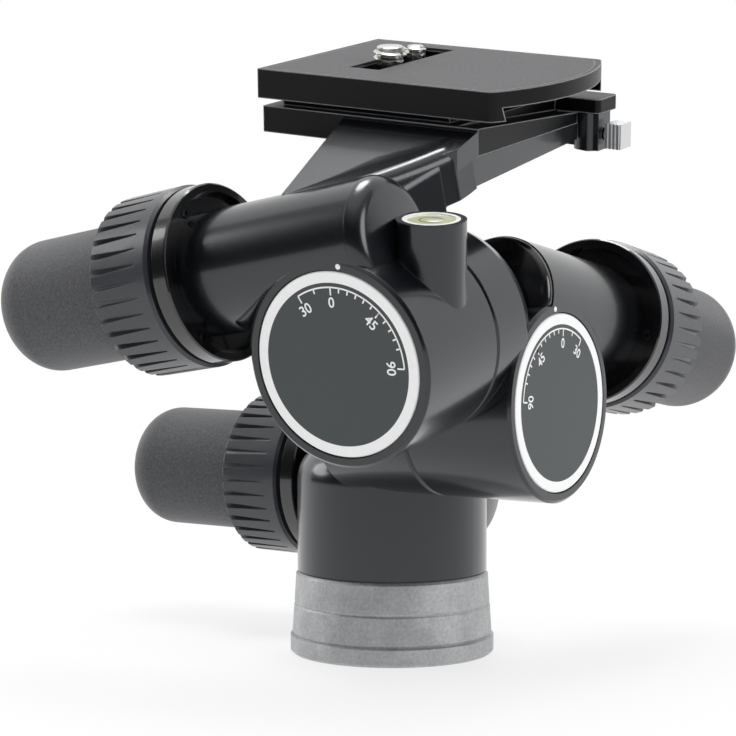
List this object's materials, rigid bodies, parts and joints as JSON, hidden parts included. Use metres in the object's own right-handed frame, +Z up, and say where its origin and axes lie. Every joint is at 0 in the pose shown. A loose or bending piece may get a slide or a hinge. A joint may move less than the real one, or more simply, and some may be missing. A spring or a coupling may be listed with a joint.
{
  "type": "geared pan and tilt head",
  "caption": "Geared pan and tilt head: round base, three worm drives with long knobs and ribbed release collars, two tilt dials, camera plate on an arm",
  "frame": {"origin": "mouth of the tripod thread, at the centre of the underside of the base", "axes": "+Z up the pan axis; +X out of the front-tilt dial; -Y out of the side-tilt dial with the head level; +Y under the camera plate, away from the side-tilt dial"},
  "size_m": [0.1834, 0.1989, 0.1816],
  "materials": {
    "black_casting": "satin black powder coat on cast aluminium",
    "silver_base": "turned, matte",
    "steel": "turned steel",
    "spring_steel": "plain spring wire",
    "bronze": "turned and cut bronze",
    "washer_plastic": "thin plain bearing washer",
    "gloss_flange": "gloss black",
    "collar_rubber": "moulded grip, grey with a blue cast",
    "knob_core": "turned",
    "knob_rubber": "textured grey rubber",
    "dial_face": "dark grey disc",
    "dial_white": "white",
    "pad_rubber": "thin textured pad",
    "level_glass": "green-yellow level",
    "catch_silver": "ribbed, bright"
  },
  "bodies": {
    "base": {"tripod_base": "silver_base", "tripod_thread_bush": "steel", "pan_worm_wheel": "bronze"},
    "pan_body": {"pan_housing": "black_casting", "pan_thrust_washer": "washer_plastic", "pan_spindle": "steel", "pan_spindle_nut": "steel", "pan_flange": "gloss_flange", "pan_end_cap": "gloss_flange", "pan_collar_spring": "spring_steel", "front_axle": "steel", "front_worm_wheel": "bronze", "front_axle_nut": "steel", "front_dial": "dial_face", "front_dial_ring": "dial_white"},
    "front_head": {"front_housing": "black_casting", "front_axle_bush": "bronze", "front_bearing_plate": "black_casting", "front_flange": "gloss_flange", "front_end_cap": "gloss_flange", "front_collar_spring": "spring_steel", "side_axle": "steel", "side_worm_wheel": "bronze", "side_axle_nut": "steel", "side_dial": "dial_face", "side_dial_ring": "dial_white"},
    "side_head": {"side_housing": "black_casting", "side_axle_bush": "bronze", "side_bearing_plate": "black_casting", "side_flange": "gloss_flange", "side_end_bearing": "bronze", "side_collar_spring": "spring_steel", "platform": "black_casting", "quick_plate": "black_casting", "plate_pad": "pad_rubber", "spirit_level": "level_glass", "spirit_level_ring": "dial_white", "lever_pin": "steel"},
    "plate_lever": {"lock_lever": "black_casting"},
    "lever_catch": {"safety_catch": "catch_silver"},
    "large_screw_retainer": {"screw_retainer_large": "steel"},
    "large_camera_screw": {"camera_screw_large": "steel"},
    "small_screw_retainer": {"screw_retainer_small": "steel"},
    "small_camera_screw": {"camera_screw_small": "steel"},
    "pan_knob": {"pan_worm_shaft": "steel", "pan_knob_core": "knob_core", "pan_knob_grip": "knob_rubber"},
    "pan_release": {"pan_collar": "collar_rubber", "pan_release_sleeve": "steel"},
    "front_knob": {"front_worm_shaft": "steel", "front_knob_core": "knob_core", "front_knob_grip": "knob_rubber"},
    "front_release": {"front_collar": "collar_rubber", "front_release_sleeve": "steel"},
    "side_knob": {"side_worm_shaft": "steel", "side_knob_core": "knob_core", "side_knob_grip": "knob_rubber"},
    "side_release": {"side_collar": "collar_rubber", "side_release_sleeve": "steel"}
  },
  "joints": [
    {"name": "pan_turn", "type": "hinge", "parent": "base", "child": "pan_body", "pos_m": [0, 0, 0.024], "axis": [0, 0, 1], "continuous": true},
    {"name": "front_tilt", "type": "hinge", "parent": "pan_body", "child": "front_head", "pos_m": [0.0307, -0.0162, 0.0772], "axis": [1, 0, 0], "range_deg": [-40.8, 79.2]},
    {"name": "side_tilt", "type": "hinge", "parent": "front_head", "child": "side_head", "pos_m": [0.0386, -0.05141, 0.09685], "axis": [0, 0.9823, 0.1874], "range_deg": [-36.6, 83.4]},
    {"name": "pan_knob_turn", "type": "hinge", "parent": "pan_body", "child": "pan_knob", "pos_m": [-0.0445, 0.0277, 0.0468], "axis": [-1, 0, 0], "continuous": true},
    {"name": "pan_collar_turn", "type": "hinge", "parent": "pan_body", "child": "pan_release", "pos_m": [-0.0445, 0.0277, 0.0468], "axis": [-1, 0, 0], "range_deg": [0, 35], "stiffness_Nm_per_rad": 0.08},
    {"name": "front_knob_turn", "type": "hinge", "parent": "front_head", "child": "front_knob", "pos_m": [0.0485, 0.03549, 0.09647], "axis": [0, 0.9857, -0.1685], "range_deg": [-3806.6, 1963.4]},
    {"name": "front_collar_turn", "type": "hinge", "parent": "front_head", "child": "front_release", "pos_m": [0.0485, 0.03549, 0.09647], "axis": [0, 0.9857, -0.1685], "range_deg": [0, 35], "stiffness_Nm_per_rad": 0.08},
    {"name": "side_knob_turn", "type": "hinge", "parent": "side_head", "child": "side_knob", "pos_m": [-0.01315, -0.07247, 0.11226], "axis": [-0.9851, 0.0322, -0.1689], "range_deg": [-4008.2, 1761.8]},
    {"name": "side_collar_turn", "type": "hinge", "parent": "side_head", "child": "side_release", "pos_m": [-0.01315, -0.07247, 0.11226], "axis": [-0.9851, 0.0322, -0.1689], "range_deg": [0, 35], "stiffness_Nm_per_rad": 0.08},
    {"name": "plate_lever_turn", "type": "hinge", "parent": "side_head", "child": "plate_lever", "pos_m": [0.05126, 0.02603, 0.15307], "axis": [-0.1149, 0.1861, -0.9758], "range_deg": [0, 60]},
    {"name": "safety_catch_push", "type": "slide", "parent": "plate_lever", "child": "lever_catch", "axis": [0.9934, 0.0215, -0.1129], "range_m": [-0.0018, 0], "stiffness_N_per_m": 400, "springref_m": 0.0006},
    {"name": "large_screw_slide", "type": "slide", "parent": "side_head", "child": "large_screw_retainer", "axis": [0, 0.9823, 0.1874], "range_m": [-0.0085, 0.0003]},
    {"name": "large_screw_turn", "type": "hinge", "parent": "large_screw_retainer", "child": "large_camera_screw", "pos_m": [0.00695, -0.01194, 0.17226], "axis": [0.1149, -0.1861, 0.9758], "continuous": true},
    {"name": "small_screw_slide", "type": "slide", "parent": "side_head", "child": "small_screw_retainer", "axis": [0, 0.9823, 0.1874], "range_m": [-0.0003, 0.0075]},
    {"name": "small_screw_turn", "type": "hinge", "parent": "small_screw_retainer", "child": "small_camera_screw", "pos_m": [0.00695, 0.00162, 0.17485], "axis": [0.1149, -0.1861, 0.9758], "continuous": true}
  ],
  "couplings": [
    {"joint": "pan_knob_turn", "follows": "pan_turn", "ratio": 48},
    {"joint": "front_knob_turn", "follows": "front_tilt", "ratio": -48},
    {"joint": "side_knob_turn", "follows": "side_tilt", "ratio": -48}
  ]
}
